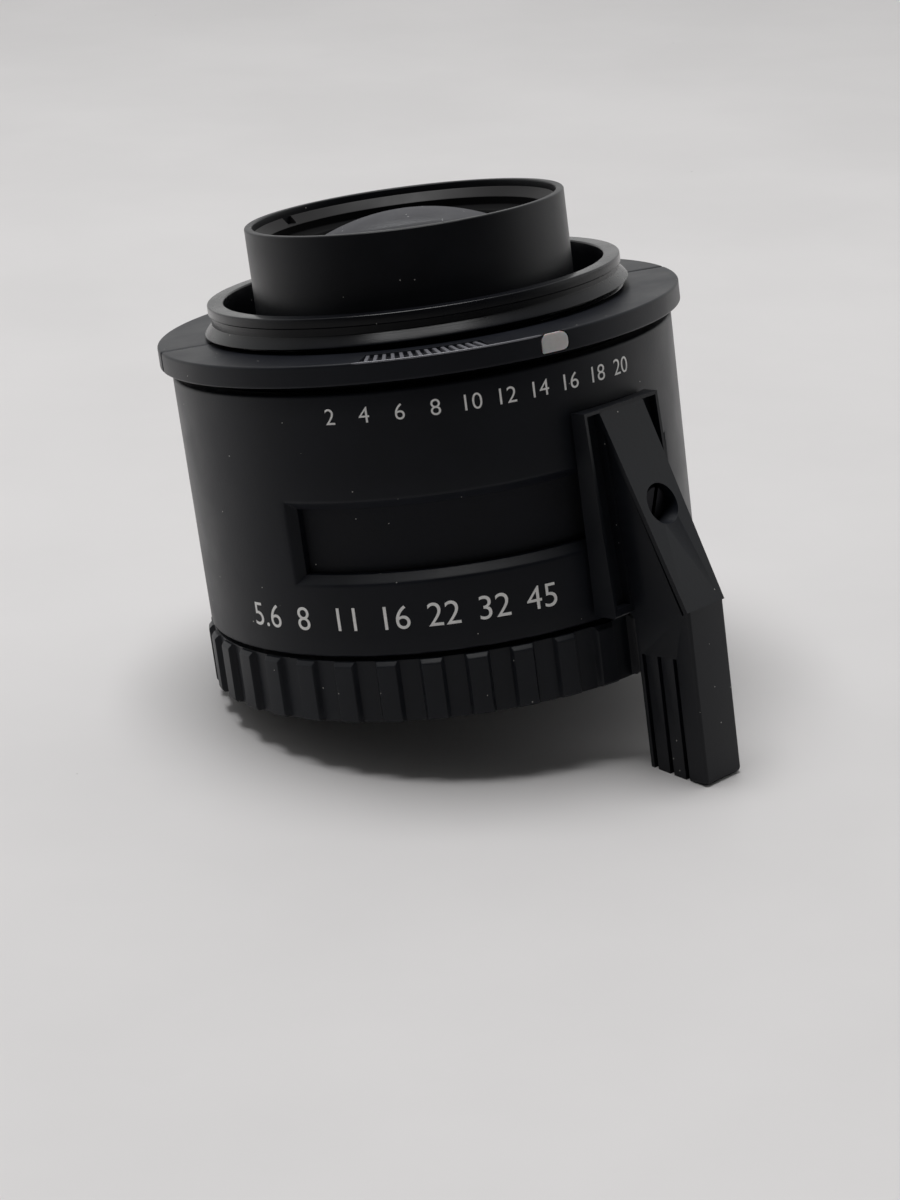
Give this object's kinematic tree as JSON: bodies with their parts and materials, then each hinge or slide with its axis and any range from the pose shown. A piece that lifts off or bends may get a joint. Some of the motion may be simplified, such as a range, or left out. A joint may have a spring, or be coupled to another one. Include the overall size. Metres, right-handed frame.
{
  "type": "enlarger lens",
  "caption": "Darkroom enlarger lens with a screw mount, a fluted aperture ring that closes an iris, and a swinging preset lever in a slot.",
  "frame": {"origin": "on the optical axis in the plane of the flange seat", "axes": "+Z along the optical axis towards the rear mount, -Y towards the side that carries the light guide"},
  "size_m": [0.0478, 0.049, 0.0501],
  "materials": {
    "moulded_black": "fine satin moulding texture",
    "anodised_black": "satin black anodised",
    "carrier_black": "dull matte black",
    "coated_glass": "coated optical glass",
    "white_plastic": "translucent white",
    "blade_steel": "blackened spring steel",
    "brass_black": "blackened brass",
    "spring_steel": "bright spring steel",
    "screw_steel": "turned steel",
    "screw_black": "black oxide steel"
  },
  "bodies": {
    "barrel": {"barrel_shell": "moulded_black", "core": "anodised_black", "mount_collar": "anodised_black", "collar_screws": "screw_steel", "flange_half_front": "moulded_black", "flange_half_rear": "moulded_black", "light_guide": "moulded_black", "index_window": "white_plastic", "rear_tube": "anodised_black", "rear_retaining_ring": "anodised_black", "rear_element": "coated_glass", "rear_spacer": "anodised_black", "rear_inner_crown": "coated_glass", "rear_inner_flint": "coated_glass", "iris_base_plate": "anodised_black", "iris_retaining_ring": "anodised_black", "front_tube": "anodised_black", "front_inner_flint": "coated_glass", "front_inner_crown": "coated_glass", "front_spacer": "anodised_black", "front_element": "coated_glass", "front_retaining_ring": "anodised_black", "ring_washer": "spring_steel", "click_ball": "spring_steel", "click_spring": "spring_steel"},
    "ring": {"aperture_ring": "moulded_black", "coupling_key": "brass_black", "coupling_screw": "screw_steel", "iris_drive_ring": "brass_black"},
    "lever": {"lever_carrier": "carrier_black", "lever": "moulded_black", "lever_screw": "screw_black"},
    "blade_1": {"iris_blade_1": "blade_steel"},
    "blade_2": {"iris_blade_2": "blade_steel"},
    "blade_3": {"iris_blade_3": "blade_steel"},
    "blade_4": {"iris_blade_4": "blade_steel"},
    "blade_5": {"iris_blade_5": "blade_steel"}
  },
  "joints": [
    {"name": "ring_turn", "type": "hinge", "parent": "barrel", "child": "ring", "pos_m": [0, 0, -0.0295], "axis": [0, 0, 1], "range_deg": [0, 66]},
    {"name": "lever_swing", "type": "hinge", "parent": "barrel", "child": "lever", "pos_m": [0, 0, -0.01575], "axis": [0, 0, 1], "range_deg": [-69, 12]},
    {"name": "blade_turn_1", "type": "hinge", "parent": "barrel", "child": "blade_1", "pos_m": [0, -0.0136, -0.0158], "axis": [0, 0, 1], "range_deg": [0, 29.3]},
    {"name": "blade_turn_2", "type": "hinge", "parent": "barrel", "child": "blade_2", "pos_m": [0.01293, -0.0042, -0.0158], "axis": [0, 0, 1], "range_deg": [0, 29.3]},
    {"name": "blade_turn_3", "type": "hinge", "parent": "barrel", "child": "blade_3", "pos_m": [0.00799, 0.011, -0.0158], "axis": [0, 0, 1], "range_deg": [0, 29.3]},
    {"name": "blade_turn_4", "type": "hinge", "parent": "barrel", "child": "blade_4", "pos_m": [-0.00799, 0.011, -0.0158], "axis": [0, 0, 1], "range_deg": [0, 29.3]},
    {"name": "blade_turn_5", "type": "hinge", "parent": "barrel", "child": "blade_5", "pos_m": [-0.01293, -0.0042, -0.0158], "axis": [0, 0, 1], "range_deg": [0, 29.3]}
  ],
  "couplings": [
    {"joint": "blade_turn_1", "follows": "ring_turn", "ratio": 0.44242},
    {"joint": "blade_turn_2", "follows": "ring_turn", "ratio": 0.44242},
    {"joint": "blade_turn_3", "follows": "ring_turn", "ratio": 0.44242},
    {"joint": "blade_turn_4", "follows": "ring_turn", "ratio": 0.44242},
    {"joint": "blade_turn_5", "follows": "ring_turn", "ratio": 0.44242}
  ]
}
